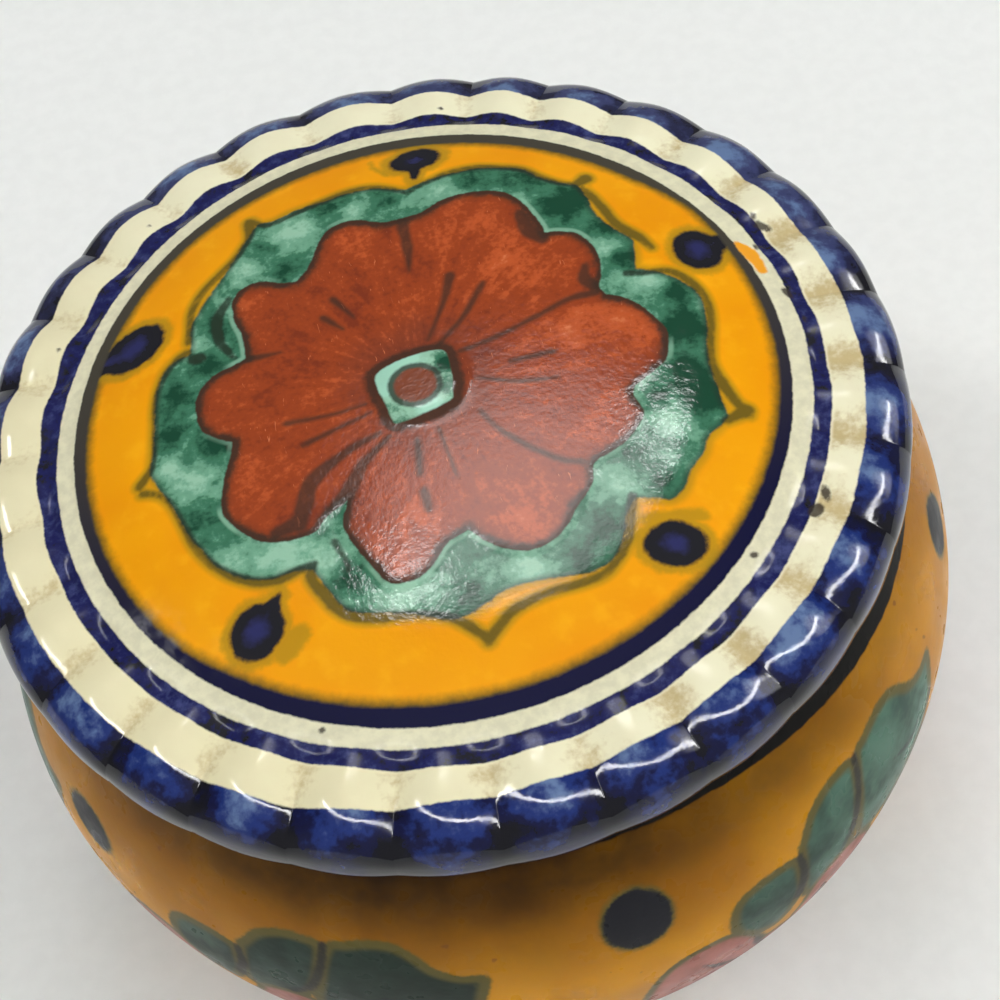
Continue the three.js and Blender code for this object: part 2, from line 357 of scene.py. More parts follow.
class Shade:
    """What a shader node puts out. A sum, difference or product with another shade or a plain
    number is worked out by one more node."""

    def __init__(self, socket):
        self.socket = socket
        self.tree = socket.id_data

    def worked(self, operation, other):
        """A new shade from this one and another value."""
        return add(self.tree, "ShaderNodeMath", {0: self, 1: other}, operation=operation)

    def __add__(self, other):
        return self.worked("ADD", other)

    def __sub__(self, other):
        return self.worked("SUBTRACT", other)

    def __mul__(self, other):
        return self.worked("MULTIPLY", other)


def add(tree, kind, inputs, output=0, **settings):
    """Adds a shader node, sets its inputs to plain values or joins them to shades, and returns
    its output as a shade."""
    made = tree.nodes.new(kind)
    for name, value in settings.items():
        setattr(made, name, value)
    for key, value in inputs.items():
        if isinstance(value, Shade):
            tree.links.new(value.socket, made.inputs[key])
        else:
            made.inputs[key].default_value = value
    return Shade(made.outputs[output])


def greater(a, b):
    """The greater of two numbers."""
    return a.worked("MAXIMUM", b)


def field(tree, name):
    """A field stored on the skin."""
    return add(tree, "ShaderNodeAttribute", {}, output="Fac", attribute_name=name)


def grain(where, size, detail=2.0, roughness=0.5, distortion=0.0):
    """Cloudy noise whose patches are about `size` millimetres across, from 0 to 1."""
    noise = {"Scale": 1 / (size * MM), "Detail": detail, "Roughness": roughness, "Distortion": distortion}
    return add(where.tree, "ShaderNodeTexNoise", {"Vector": where, **noise})


def step(value, low, high, start=0.0, end=1.0):
    """Goes smoothly from `start` to `end` while the value goes from low to high."""
    limits = {"From Min": low, "From Max": high, "To Min": start, "To Max": end}
    return add(value.tree, "ShaderNodeMapRange", {"Value": value, **limits}, interpolation_type="SMOOTHSTEP")


def cover(amount, under, over):
    """One colour laid over another by an amount from 0 to 1."""
    return add(amount.tree, "ShaderNodeMix", {0: amount, 6: under, 7: over}, output=2, data_type="RGBA")


def edged(depth, waver, reach, soft=0.12):
    """Paint with a hand-made edge: a depth field that wavers by noise, cut off softly at zero."""
    return step(depth + (waver - 0.5) * reach, -soft, soft)


def fired(material, colour, relief, roughness, gloss):
    """A glazed surface, with bare clay where the dip was wiped off: its colour, its relief in
    millimetres, and how rough and glossy the glaze is."""
    tree = material.node_tree
    bare = field(tree, "bare_clay")
    place = add(tree, "ShaderNodeTexCoord", {}, output="Object")
    colour = cover(bare, colour, cover(grain(place, 1.5, 4), CLAY, CLAY_DEEP))
    roughness = add(tree, "ShaderNodeMix", {0: bare, 2: roughness, 3: CLAY_ROUGHNESS}, data_type="FLOAT")
    bump = add(tree, "ShaderNodeBump", {"Strength": 1.0, "Distance": MM, "Height": relief}, output="Normal")
    shader = tree.nodes["Principled BSDF"]
    for name, value in {"Base Color": colour, "Normal": bump, "Roughness": roughness}.items():
        tree.links.new(value.socket, shader.inputs[name])
    shader.inputs["Specular IOR Level"].default_value = gloss


def new_material(name):
    """An empty material with its tree and the place of each point on the object."""
    material = bpy.data.materials.new(name)
    material.use_nodes = True
    return material, material.node_tree, add(material.node_tree, "ShaderNodeTexCoord", {}, output="Object")


CREAM = tint(235, 231, 198)
CLAY = tint(176, 112, 78)
CLAY_DEEP = tint(150, 92, 62)
CLAY_ROUGHNESS = 0.85
OCHRE = tint(222, 154, 4)
OCHRE_DEEP = tint(158, 95, 0)
OCHRE_LIGHT = tint(210, 150, 30)
# Painted shade under the lid, and a near black painted shadow right under its edge:
OCHRE_SHADED = tint(98, 56, 2)
OCHRE_SHADOWED = tint(30, 15, 0)
INK = tint(28, 28, 34)
OLIVE = tint(92, 84, 40)
LEAF_GREEN = tint(98, 144, 122)
LEAF_DARK = tint(60, 92, 78)
# Painted shade on the leaves round the front:
LEAF_SHADED = tint(22, 32, 25)
ROSE = tint(178, 112, 100)
ROSE_DEEP = tint(150, 86, 74)
SPECK = tint(110, 62, 22)
BAND_BLACK = tint(12, 10, 8)
BOWL_GLOSS = 0.1


def bowl_glaze():
    """Layers as they were brushed on: cream glaze, ochre ground, leaves, petals, lines, dots, bands."""
    material, tree, place = new_material("bowl_paint")
    fine = grain(place, 0.7, 3)
    coarse = grain(place, 6, 3, 0.55)
    cloudy = grain(place, 16, 2)
    outside_wall = field(tree, "outside")
    neck_height = field(tree, "neck")
    ground = cover(step(cloudy, 0.3, 0.75, 0.1, 0.7), OCHRE, OCHRE_DEEP)
    ground = cover(step(coarse, 0.45, 0.7, 0, 0.35), ground, OCHRE_LIGHT)
    # Painted shade: the ochre darkens up the wall towards the lid and round the front, and turns near black
    # right under the lid's edge as a painted shadow.
    shaded_share = field(tree, "painted_shade") * step(coarse, 0.2, 0.8, 0.7, 0.95)
    ground = cover(shaded_share, ground, OCHRE_SHADED)
    ground = cover(shaded_share * step(neck_height, 52.0, 59.0, 0, 0.95), ground, OCHRE_SHADOWED)
    ground = cover(step(grain(place, 2.6, 2, 0.4), 0.72, 0.76, 0, 0.7), ground, SPECK)
    colour = cover(outside_wall, CREAM, ground)

    leaf = field(tree, "leaf")
    green = cover(step(coarse, 0.38, 0.66), LEAF_GREEN, LEAF_DARK)
    # Painted shade on the leaves round the front.
    green = cover(field(tree, "front") * 0.95, green, LEAF_SHADED)
    colour = cover(edged(leaf, fine, 0.7, 0.35), colour, cover(step(leaf, 0.9, 2.0), OLIVE, green))
    petal = field(tree, "petal")
    rose = cover(step(grain(place, 4, 4, 0.6), 0.35, 0.7), ROSE, ROSE_DEEP)
    colour = cover(edged(petal, fine, 0.7, 0.35), colour, cover(step(petal, 0.7, 1.7), OLIVE, rose))
    colour = cover(edged(field(tree, "line"), fine, 0.5, 0.35) * 0.85, colour, INK)
    heart = field(tree, "heart")
    colour = cover(edged(heart, fine, 0.4, 0.2), colour, LEAF_GREEN)
    colour = cover(step(heart, 1.6, 2.0), colour, ROSE_DEEP)
    dot = field(tree, "dot")
    colour = cover(edged(dot, fine, 0.8, 0.5), colour, OLIVE)
    colour = cover(step(dot + fine, 0.6, 1.2), colour, INK)

    ragged = (grain(place, 3.5, 4, 0.6) - 0.5) * 1.8
    neck = step(neck_height + ragged * 0.4, NECK_BAND - 0.15, NECK_BAND + 0.15)
    foot = step(field(tree, "height") + ragged, FOOT_BAND + 0.1, FOOT_BAND - 0.1)
    colour = cover(greater(neck, foot) * outside_wall, colour, BAND_BLACK)
    fired(material, colour, fine * 0.015 + coarse * 0.12, step(coarse, 0.35, 0.7, 0.26, 0.4), BOWL_GLOSS)
    return material


bowl.data.materials.append(bowl_glaze())
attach(bowl, "bowl")
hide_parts("bowl")

# Lid
# A gently domed lid of the same clay, pressed in a mould: its edge has thirty round flutes, and a
# ring under it keeps it on the bowl's mouth. Dipped, painted by brush and fired like the bowl.

FLUTES = 30
FLUTE_TURN = 2.05  # degrees from +X to the first valley
LID_RADIUS = 56.0
FLANGE_THICKNESS = 5.2
EDGE_START = 47.0
EDGE_FALL = 2.5
LIP_ROUND = 1.9
LIP_DROOP = 2.4
LIP_UNDER = 0.9
LIP_RISE = 0.3  # how far the lip's underside rises into a valley
LIP_START = 53.0
SEAT_RADIUS = 51.2
SHOULDER_START = 31.0
SHOULDER_MIDDLE = 42.8
SHOULDER_END = 49.0
SHOULDER_RISE = 2.3
CROWN_RISE = 2.2
BUTTON_TOP = 3.4
BUTTON_RADIUS = 6.4
BUTTON_RISE = 0.5
FLUTE_START = 44.0
FLUTE_RUN = 1.6
FLUTE_DEPTH = 0.78
FLUTE_SCALLOP = 0.15
FLUTE_BULGE = 0.5
BULGE_START = 45.0
BULGE_END = 56.5
INNER_ROUNDNESS = 1.6  # power of the sine where the flutes begin: 1 gives sharp valleys, 2 waves
FLUTE_ROUNDNESS = 1.03  # the same at the edge
ROUNDNESS_START, ROUNDNESS_END = 47, 52.5
FLUTE_DRIFT = 2.4  # degrees by which the mould's flutes crowd together at the back
DRIFT_MIDDLE = 80
DRIFT_SPREAD = 17
LID_WALL = 4.3
RING_RADIUS = 42.5
RING_INSIDE = 38.5
RING_DEPTH = 6.0
LID_MIDDLE = (-1.0103, 0.8181, 67.7)  # pushed over against the bowl's mouth, on its seat
LID_TURNS = 720
CROWDING = 1.6  # degrees by which the skin's turns move towards the valleys
CROWDING_START, CROWDING_END = 41, 44
DENSE_RADIUS = 40  # the dome's rows lie closer together out from here
FACE_RADIUS = 42  # reach of the painted face inside the rings
BARE_SEAT = 52  # the clay is bare inwards from here where the lid rests on the rim
BARE_RING_END = -5.2
BAND_SCALLOP = 0.6  # how far the blue edge reaches further in at the valleys on the right
SCALLOP_SPREAD = 25  # degrees

# Edges of the painted rings, as (degrees, radius) round the lid.
GROUND_EDGE = (
    (0, 41), (15, 41), (26, 41.5), (40, 40.2), (75, 40), (98, 39.9), (125, 40.4), (164, 40.2), (194, 40.8),
    (218, 41), (230, 40.5), (254, 40.2), (284, 40.3), (302, 40.5), (326, 40.7), (350, 41),
)
INNER_RING_EDGE = (
    (15, 42.26), (45, 41.95), (105, 42.05), (165, 41.9), (225, 42.4), (285, 42.45), (345, 42.38),
)
BLUE_RING_START = (
    (15, 44.64), (45, 44.34), (75, 44.18), (105, 44.14), (150, 43.85), (195, 44.45), (225, 44.74),
    (285, 44.57), (345, 44.75),
)
BLUE_RING_END = ((15, 46.46), (75, 46.4), (105, 46.63), (165, 46.65), (225, 46.84), (285, 46.9), (345, 46.82))
BAND_START = ((15, 50.28), (45, 50.47), (75, 50.61), (105, 51.03), (135, 51.31), (165, 51.74), (240, 51.85),
              (262, 50.7), (285, 50.66), (345, 50.52))

# Outer edge of each petal, from notch to notch, clockwise from the upper left.
PETALS = (
    ((-11.5, 20.2), (-9.7, 22), (-8.3, 24.7), (-6.7, 27), (-4.7, 27.8), (-2.7, 27.7), (-1, 26.8),
     (0.7, 26)),
    ((3.8, 26), (5.7, 26.3), (7.7, 27.3), (10.3, 27.7), (13.3, 27.3), (15.7, 26.3), (17.3, 24.3),
     (18.3, 21.7), (19, 19), (19, 18)),
    ((19, 18), (20.7, 17.7), (22.7, 16.7), (24, 14.3), (24.3, 11.7), (23.7, 9), (23.2, 7.7), (23.7, 6.3)),
    ((23.7, 6.3), (25.3, 5.5), (27, 3.7), (28.3, 1.3), (29, -0.7), (28.8, -2.3), (28, -4.7), (26.3, -6),
     (23.3, -7.7)),
    ((23.3, -7.7), (23, -9), (23.5, -11.3), (22.7, -12.7), (21, -14.3), (19.3, -15.3), (16.7, -16.3),
     (16, -17.2)),
    ((16, -17.2), (15.7, -18.7), (14.7, -20), (13.3, -21.3), (12, -23), (10.3, -24.5), (8.3, -25.3),
     (6, -25.2), (4, -24.2), (2.3, -22.7), (1, -21)),
    ((1, -21), (-1.7, -22), (-3.3, -23.7), (-5, -25), (-7, -25.4), (-9, -24.7), (-10, -22.7),
     (-11, -20.7), (-12, -18), (-12.3, -16), (-11.3, -13.3)),
    ((-11.3, -13.3), (-14, -14.7), (-15.3, -16), (-17, -16.3), (-19.3, -16.2), (-21.7, -15.3),
     (-23.3, -13.7), (-24.7, -11.7), (-25.3, -9.7), (-24.7, -6.7), (-24, -4.7), (-23, -2.3), (-22.7, -1.1)),
    ((-22.7, -1.1), (-24.7, 0.3), (-26, 2), (-26.3, 4.3), (-26, 6.3), (-25, 8), (-23.3, 9.3),
     (-21.3, 9.8), (-19.3, 10.4)),
    ((-19.3, 10.4), (-19.2, 12.3), (-19.3, 14.3), (-19.8, 16.7), (-19.7, 19.3), (-18.7, 21), (-17, 21.8),
     (-15, 21.5), (-13.3, 20.5), (-11.5, 20.2)),
)

# Dark lines on the flower: points from outside in, then half widths along them.
PETAL_LINES = (
    (((-6, -5.5), (-10, -6.8), (-14.5, -9.3), (-16, -12.3), (-17, -14.8)), (0.4, 0.6, 1.0, 1.1, 0.9)),
    (((-5, -6.3), (-8.5, -9), (-11, -12.3), (-13, -14.3)), (0.4, 0.7, 1.1, 1.2)),
    (((2.7, 25.6), (2.5, 20.7), (2, 17)), (0.8, 0.7, 0.2)),
    (((5.3, 3), (9.3, 3.7), (14.7, 5.3), (19, 6.8), (22.6, 7)), (0.4, 0.35, 0.4, 0.45, 0.6)),
    (((5.7, -6), (7, -8.7), (9.3, -11.7), (11.3, -13.7), (13.3, -15.3), (15.3, -16)), (0.3, 0.4, 0.45, 0.5)),
    (((-20.3, 10.4), (-17.3, 10), (-15, 9.8)), (0.6, 0.4, 0.2)),
    (((-9.3, 13.2), (-7.3, 10.7)), (0.55, 0.25)),
    (((-7.7, 15.7), (-5.7, 12)), (0.5, 0.25)),
    (((6.5, 14.6), (5, 11), (2, 5.7)), (0.75, 0.45, 0.25)),
    (((10, 12.3), (7, 8.3), (2.7, 4.3)), (0.5, 0.4, 0.25)),
    (((10.7, -0.2), (15.7, -0.2)), (0.35, 0.45)),
    (((6.3, -1.3), (11, -3.3), (15.3, -4)), (0.25, 0.4, 0.3)),
    (((-2, -7.7), (-2.7, -12.3)), (0.4, 0.5)),
    (((-2.7, -14.6), (-2.7, -17)), (0.6, 0.6)),
    (((0.7, -7), (1.3, -14)), (0.3, 0.2)),
    (((-16.3, -0.7), (-10.7, -1.2), (-6.7, -1)), (0.4, 0.35, 0.2)),
    (((-14.7, -4.3), (-10, -3.2), (-6.3, -2.3)), (0.45, 0.35, 0.2)),
    (((18.6, 17.2), (17.2, 19), (16.9, 22)), (0.9, 1.1, 0.8)),
    (((22.6, 8), (21.8, 9.4), (22.4, 11.5)), (0.9, 0.9, 0.4)),
    (((-19.8, -14.9), (-17.4, -14.4)), (0.8, 1.0)),
)

# Edge of the green that is filled in round the flower, from notch to notch.
CLOUD = (
    ((-14.5, 31.3), (-12.7, 31), (-10, 31.7), (-6, 32), (-3.7, 32.3), (0, 32), (2.7, 30.8), (4.3, 30.2)),
    ((4.3, 30.2), (6.3, 30.8), (9.3, 31.3), (12.7, 31.3), (15.3, 30.8), (18.7, 29.3), (20.3, 27.3),
     (22.3, 25.7), (24.3, 24.7)),
    ((24.3, 24.7), (25, 22), (25, 20), (26, 17.3), (27, 15.7), (28.3, 13.7), (28, 11.3), (27.5, 9)),
    ((27.5, 9), (31, 7), (33.3, 4.3), (33.8, 2), (33.3, -1.3), (32.5, -4), (32, -6.7), (32, -10),
     (32, -14)),
    ((32, -14), (30.7, -15), (29, -16.3), (28, -18), (26, -20), (24.7, -22), (23.3, -22.8), (21.7, -22.3),
     (19.3, -21.7)),
    ((19.3, -21.7), (17.7, -23.7), (16.7, -26.3), (14.7, -28.7), (12, -29.3), (9.3, -29), (6, -28.7),
     (2.7, -29), (1, -29.7)),
    ((1, -29.7), (-2.3, -30.8), (-6, -29.3), (-9.3, -28), (-11.7, -27.3), (-13.7, -26.3), (-14.7, -24.3),
     (-15.7, -22), (-16.3, -20.3)),
    ((-16.3, -20.3), (-18.5, -19.8), (-21, -20), (-23, -19.5), (-25.3, -18), (-27, -16), (-28, -14),
     (-29, -12), (-29.7, -9.5), (-30.5, -7), (-31.7, -4), (-32.3, -2)),
    ((-32.3, -2), (-31.5, 1), (-31, 4), (-30.5, 7), (-29.7, 10), (-28, 12.5), (-25.2, 13)),
    ((-25.2, 13), (-24.7, 17.3), (-23.3, 19.7), (-21.7, 21.7), (-20, 23.7), (-18.3, 26), (-16.7, 28.3),
     (-15, 30.7), (-14.5, 31.3)),
)

# The brush lines round the green, and its loose strokes, with half widths.
CLOUD_LINES = (
    (((-15.7, 33), (-14, 31.2), (-12.7, 31), (-9.3, 31.8), (-6, 32.5), (-3, 33), (0, 32.7), (2.7, 31.3),
      (4.2, 30)), (0.5, 0.4, 0.5, 0.45, 0.3)),
    (((4.2, 30), (6.3, 30.9), (9.3, 31.8), (12.7, 32), (15.3, 31.3), (18.7, 29.8), (20.5, 27.8), (22.5, 26),
      (24.5, 25)), (0.3, 0.5, 0.5, 0.5, 0.4)),
    (((24.5, 25), (26, 26)), (0.5, 0.9)),
    (((25, 24), (25.7, 23), (26.7, 20), (27.7, 16.7), (29.7, 14), (30.7, 12)), (0.5, 0.6, 0.6, 0.7, 0.4)),
    (((26.7, 8.8), (28.7, 8.3), (31.3, 8), (33, 6.7), (34.3, 4.3), (34.7, 2), (34.3, -0.7), (33.3, -4),
      (32.7, -6.7), (33, -9.3), (33.7, -12), (34.8, -14.3)), (0.5, 0.4, 0.6, 0.5, 0.5, 0.5, 0.7, 0.5)),
    (((34.8, -13.7), (32, -14.7)), (0.8, 0.5)),
    (((19.3, -21.8), (18.3, -24.7), (17.3, -27), (16, -28.7), (14, -30.2), (11.3, -30.7), (8.3, -30.8),
      (5.7, -31.2), (3.3, -32), (1, -33.7), (0, -34.5)), (0.6, 0.6, 0.5, 0.5, 0.5, 0.6, 0.6)),
    (((0.3, -34.5), (-1.3, -32.7), (-3, -31), (-5, -30), (-7.7, -29.2), (-10.7, -28.7), (-13.3, -27.7),
      (-15, -26), (-16, -24), (-17, -21.7), (-16.5, -20.2)), (0.5, 0.6, 0.5, 0.6, 0.7, 0.7, 0.5)),
    (((-16.3, -20), (-18.3, -20.3), (-20.7, -20.7), (-23, -20.2), (-25.3, -18.7), (-27, -17), (-28.3, -15),
      (-29.3, -12.7), (-30, -10), (-30.8, -7.3), (-31.7, -5.7), (-33, -4.7), (-34, -4.3)),
     (0.5, 0.6, 0.6, 0.5, 0.5, 0.4, 0.4, 0.5)),
    (((-34.2, -3.2), (-32.7, -1.7), (-32, 0), (-31.3, 4.3), (-31, 6.7), (-30.3, 9.3), (-29.3, 11.3),
      (-27.7, 13), (-26, 14)), (0.6, 0.4, 0.4, 0.4, 0.5, 0.5)),
    (((-25.7, 15.3), (-25.3, 17), (-24.7, 20), (-23, 22.7), (-20.7, 24.7), (-18.7, 26.3), (-17, 28.3),
      (-16, 30), (-15.7, 32.7)), (0.5, 0.5, 0.5, 0.5, 0.5, 0.8)),
    (((-20, 20.3), (-21.7, 17.7), (-22, 14.3), (-20.7, 11)), (0.5, 0.8, 0.7, 0.4)),
    (((-13.7, -18), (-12.9, -20.5), (-12.7, -22)), (0.5, 0.35, 0.3)),
    (((-22.9, -1.5), (-22.1, -1.5)), (0.7, 0.7)),
    (((-25.4, 12.5), (-24.6, 12.5)), (0.8, 0.8)),
)

# Dark dots on the ground: middle, half width, half height and tilt of each.
DOTS = ((6.3, 36.2, 3.3, 2.3, 5), (36, 10.8, 3.0, 3.4, 0), (22.3, -28.5, 3.5, 2.7, -10),
        (-24, -26, 3.4, 3.0, 40), (-32.5, 17.5, 4.3, 3.1, 25))
DOT_TAILS = (
    (((6.3, 35.5), (5.5, 32.5)), (1.2, 0.4)),
    (((36, 10.8), (39.5, 12), (40.6, 12.4)), (2.0, 1.1, 0.9)),
    (((-23, -25), (-20.7, -22.5)), (1.8, 0.3)),
    (((-34, 17.2), (-37.2, 17), (-39, 17.5)), (2.2, 1.5, 1.2)),
)
HALO_STROKES = (
    (((0.7, 38), (1.2, 36), (2.5, 34.5)), (0.3, 0.4, 0.5)),
    (((-21.5, -28.7), (-19.3, -27.8)), (1.8, 1.2)),
    (((5.9, 33.5), (5.5, 32)), (1.0, 0.8)),
    (((20, -25), (26, -25.8)), (0.9, 0.9)),
)
HEART = (
    (-4.8, 2.7), (-2, 3.6), (1, 3.9), (3.5, 3.5), (3.8, 0.5), (3.4, -2.4), (2.8, -3.8), (0, -4.6),
    (-3, -4.9), (-4.2, -4.5), (-4.6, -2), (-5.1, 0.5),
)
HEART_DOT = (-0.7, -0.5, 2.9, 2.8, 0)
SPLASH = (((41, 11.3), (42, 9.5), (42.7, 6.5)), (0.4, 0.9, 0.6))

# Dark and rusty specks on the pale rings: middle, half width, half height and tilt of each.
SPECKS = (
    (38.6, -27.2, 1.1, 0.8, 40), (40.3, -25.4, 0.5, 0.9, 0), (30.2, -31.2, 0.45, 0.35, 0),
    (11.4, 46, 0.4, 0.3, 0), (-19.4, -38.6, 0.35, 0.3, 0), (44.6, 2.7, 0.5, 0.8, 20),
    (44.8, 13.6, 0.5, 1.2, 60), (44.2, 15.2, 0.4, 0.6, 0), (-42, 22, 0.3, 0.35, 0),
    (-28.5, 38.6, 0.3, 0.25, 0), (43.1, 10.5, 0.3, 0.5, 0), (45.3, -1.8, 0.25, 0.5, 0),
)

# Where the green pooled dark or stayed thin and light: middle, size and weight of each dab.
GREEN_DABS = (
    (-15, 27.2, 1.6, 0.7), (-12.6, 22.6, 1.6, 0.9), (-6.5, 31, 1.8, 0.5), (1.5, 29.5, 1.5, 0.6),
    (12, 30.4, 2, 0.7), (18.5, 27.8, 2.2, 0.9), (22.5, 22.5, 2.6, 1.2), (25.5, 24, 1.8, 0.8),
    (26.2, 16.5, 1.6, 0.8), (27.2, 11.5, 1.6, 0.9), (31.6, 4.6, 1.8, 1), (31, -0.5, 2.4, 1.6),
    (30, -7.5, 2.6, 1.2), (31.5, -11, 2, 0.9), (25.5, -10, 1.4, 0.8), (20.6, -17.2, 1.8, 0.6),
    (23, -21, 1.6, 0.6), (15.6, -24.5, 2.4, 1), (12, -28, 1.8, 0.8), (-0.5, -28.3, 1.8, 0.9),
    (-13, -22.8, 1.6, 0.8), (-25.4, -16.4, 2.2, -0.9), (29.9, -11.5, 2.2, 1.2), (-28.4, -10.6, 2.2, 0.8),
    (-24.5, -0.5, 2, 1.1), (-29.6, 2.5, 2.2, 1), (-28.2, 8.2, 2.4, 1.1), (-23.6, 11.2, 1.8, 1),
    (-21.8, 16.6, 1.6, 0.9), (-17.5, 25, 2.4, -1), (-10.5, 28.5, 2.4, -0.9), (-3, 28.6, 1.6, -0.6),
    (8, 29.2, 2.2, -0.7), (17, 24.8, 1.6, -0.7), (25.2, 13.8, 1.6, -0.7), (29.4, 7, 1.6, -0.9),
    (26.5, -13.6, 2.2, -1), (18.8, -20, 2, -0.6), (6.4, -27.2, 2.2, -0.8), (-7.6, -27, 2.6, -1),
    (-14.6, -19.8, 2, -0.8), (-19.5, -18.2, 2.8, -1.2), (-27.6, -5.8, 2.4, -0.9), (-30.4, -2, 1.4, -0.7),
    (-25.8, 14.8, 1.4, -0.6), (-20.4, 19.4, 1.3, -0.7), (3.4, 1.2, 1.4, 1.5), (2.8, -2, 1, 0.8),
    (-3.9, 1.2, 2.2, -1.2), (0, -4, 1.5, -1.2), (-1, 3.4, 1.5, -1),
)

# Where the petals are shaded or lit by more or less paint, in the same way.
PETAL_DABS = (
    (-14, 17.3, 3.5, 0.5), (-12.8, 10.6, 4, 0.5), (-17.3, 2.8, 4, 0.4), (-5, 14, 3, 0.6),
    (2.8, 17.3, 2.5, 0.6), (7.8, 6.7, 2.5, 0.5), (-11, -9.5, 3.5, 0.5), (-12, -14.5, 2, 0.8),
    (1, 24.5, 1.6, 0.7), (-6.5, 2, 2.5, 0.4), (-3.9, 24, 2.5, -0.6), (11.7, 22, 4, -0.6),
    (17.3, 12, 4, -0.6), (25.4, 0, 3, -1), (19.5, 3, 4, -0.7), (-19, 18.4, 2, -0.5), (-21.8, 5, 3, -0.5),
    (-18.5, -12.5, 3, 0.7), (-22, -7, 2, -0.4), (-2.8, -16.7, 4, -0.6), (8.4, -21.5, 4, -0.6),
    (16.7, -11.2, 4, -0.7), (13, 16, 3, -0.4),
)


def lid_height(radius):
    """Height of the lid's face over its seat: a flange that curves down to the edge, a smooth
    slope up, a domed middle that rises with the square of the radius inwards, and a low button."""
    fall = np.clip((radius - EDGE_START) / (LID_RADIUS - EDGE_START), 0, None) ** 2
    dome = np.clip(1 - (radius / SHOULDER_MIDDLE) ** 2, 0, None)
    slope = smooth_step(radius, SHOULDER_START, SHOULDER_END)
    button = BUTTON_RISE * (1 - smooth_step(radius, BUTTON_TOP, BUTTON_RADIUS))
    return FLANGE_THICKNESS - EDGE_FALL * fall + SHOULDER_RISE * (1 - slope) + CROWN_RISE * dome + button


def lid_section():
    """Radius and height over the seat from the middle over the dome, the edge and the underside
    with its ring, back in to the middle."""
    dome = np.concatenate([np.linspace(0.5, DENSE_RADIUS, 64),
                           np.linspace(DENSE_RADIUS, LID_RADIUS - LIP_ROUND, 41)[1:]])
    under = np.linspace(RING_INSIDE, POLE_RADIUS, 9)
    lip, lip_in = LIP_UNDER - LIP_DROOP, LID_RADIUS - LIP_UNDER
    low, ring_out, ring_in = -RING_DEPTH, RING_RADIUS - 1, RING_INSIDE + 1
    roof = lid_height(RING_INSIDE) - LID_WALL
    return joined(
        np.column_stack([dome, lid_height(dome)]),
        bend((dome[-1], lid_height(dome[-1])), (LID_RADIUS, lid_height(LID_RADIUS)), (LID_RADIUS, 0.15), 5),
        bend((LID_RADIUS, 0.15), (LID_RADIUS, -0.7), (LID_RADIUS, lip), 2),
        bend((LID_RADIUS, lip), (LID_RADIUS, -LIP_DROOP), (lip_in, -LIP_DROOP), 3),
        bend((lip_in, -LIP_DROOP), (53, -1.2), (SEAT_RADIUS, 0), 2),
        bend((SEAT_RADIUS, 0), (47, 0), (RING_RADIUS, 0), 2),
        bend((RING_RADIUS, 0), (RING_RADIUS, -2.5), (RING_RADIUS, 1 + low), 2),
        bend((RING_RADIUS, 1 + low), (RING_RADIUS, low), (ring_out, low), 2),
        bend((ring_out, low), (40.5, low), (ring_in, low), 1),
        bend((ring_in, low), (RING_INSIDE, low), (RING_INSIDE, 1 + low), 2),
        bend((RING_INSIDE, 1 + low), (RING_INSIDE, -1), (RING_INSIDE, roof), 3),
        np.column_stack([under, lid_height(under) - LID_WALL]),
    )


lid_profile = lid_section()
even_turn = np.arange(LID_TURNS)[None, :] * 360 / LID_TURNS
crowding = CROWDING * smooth_step(lid_profile[:, :1], CROWDING_START, CROWDING_END)
mould_turn = even_turn - crowding * np.sin(np.radians(FLUTES * even_turn))
drift = FLUTE_DRIFT * np.exp(-((mould_turn - DRIFT_MIDDLE) / DRIFT_SPREAD) ** 2)
lid_degrees = mould_turn + FLUTE_TURN - drift
lid_angle = np.radians(lid_degrees)
lid_radius, lid_level = (lid_profile[:, k][:, None] + 0 * lid_angle for k in (0, 1))
lid_rows = np.arange(len(lid_profile))[:, None] + 0 * lid_angle
edge_row = int(np.argmax(lid_profile[:, 0] > LID_RADIUS - 0.001))
lip_row = int(np.argmax(lid_profile[:, 1] <= -LIP_DROOP + 0.001))
flattened = smooth_step(lid_radius, ROUNDNESS_START, ROUNDNESS_END)
roundness = INNER_ROUNDNESS + (FLUTE_ROUNDNESS - INNER_ROUNDNESS) * flattened
wave = 1 - np.abs(np.sin(np.radians(mould_turn) * FLUTES / 2)) ** roundness
uneven = 0.93 + 0.07 * np.sin(5.3 * lid_angle + 1) * np.cos(2 * lid_angle)
valley = wave * uneven * np.clip((lid_radius - FLUTE_START) / FLUTE_RUN, 0, 1)
over_bulge = np.clip((lid_radius - BULGE_START) / (BULGE_END - BULGE_START), 0, 1)
bulge = FLUTE_BULGE * (1 - wave) * np.sin(np.pi * over_bulge)
upward = np.clip(lid_level / lid_height(LID_RADIUS), 0, 1)
lip_rise = LIP_RISE * smooth_step(lid_radius, LIP_START, LID_RADIUS) * (lid_level < 0)
fluted_radius = lid_radius * (1 - FLUTE_SCALLOP * valley / LID_RADIUS)
fluted_level = lid_level + (bulge - FLUTE_DEPTH * valley) * upward + lip_rise * valley
lid_grid = np.stack([fluted_radius * np.cos(lid_angle), fluted_radius * np.sin(lid_angle), fluted_level],
                    axis=-1)
lid_top, lid_roof = lid_height(0), lid_height(POLE_RADIUS) - LID_WALL
lid = skin("lid_glazed", lid_grid + LID_MIDDLE, np.add(LID_MIDDLE, (0, 0, lid_top)),
           np.add(LID_MIDDLE, (0, 0, lid_roof)))

painted = lid_rows < lip_row
bare_seat = (abs(lid_level) < 0.2) & (lid_radius < BARE_SEAT)
upper_face = lid_rows < edge_row
inner_face = upper_face & (lid_radius < FACE_RADIUS)
lid_x, lid_y = lid_radius * np.cos(lid_angle), lid_radius * np.sin(lid_angle)
face_x, face_y = lid_x[inner_face], lid_y[inner_face]


def on_face(values, elsewhere=OUTSIDE_PAINT):
    """A field worked out for the painted face alone."""
    whole = np.full(lid_radius.shape, elsewhere)
    whole[inner_face] = values
    return whole


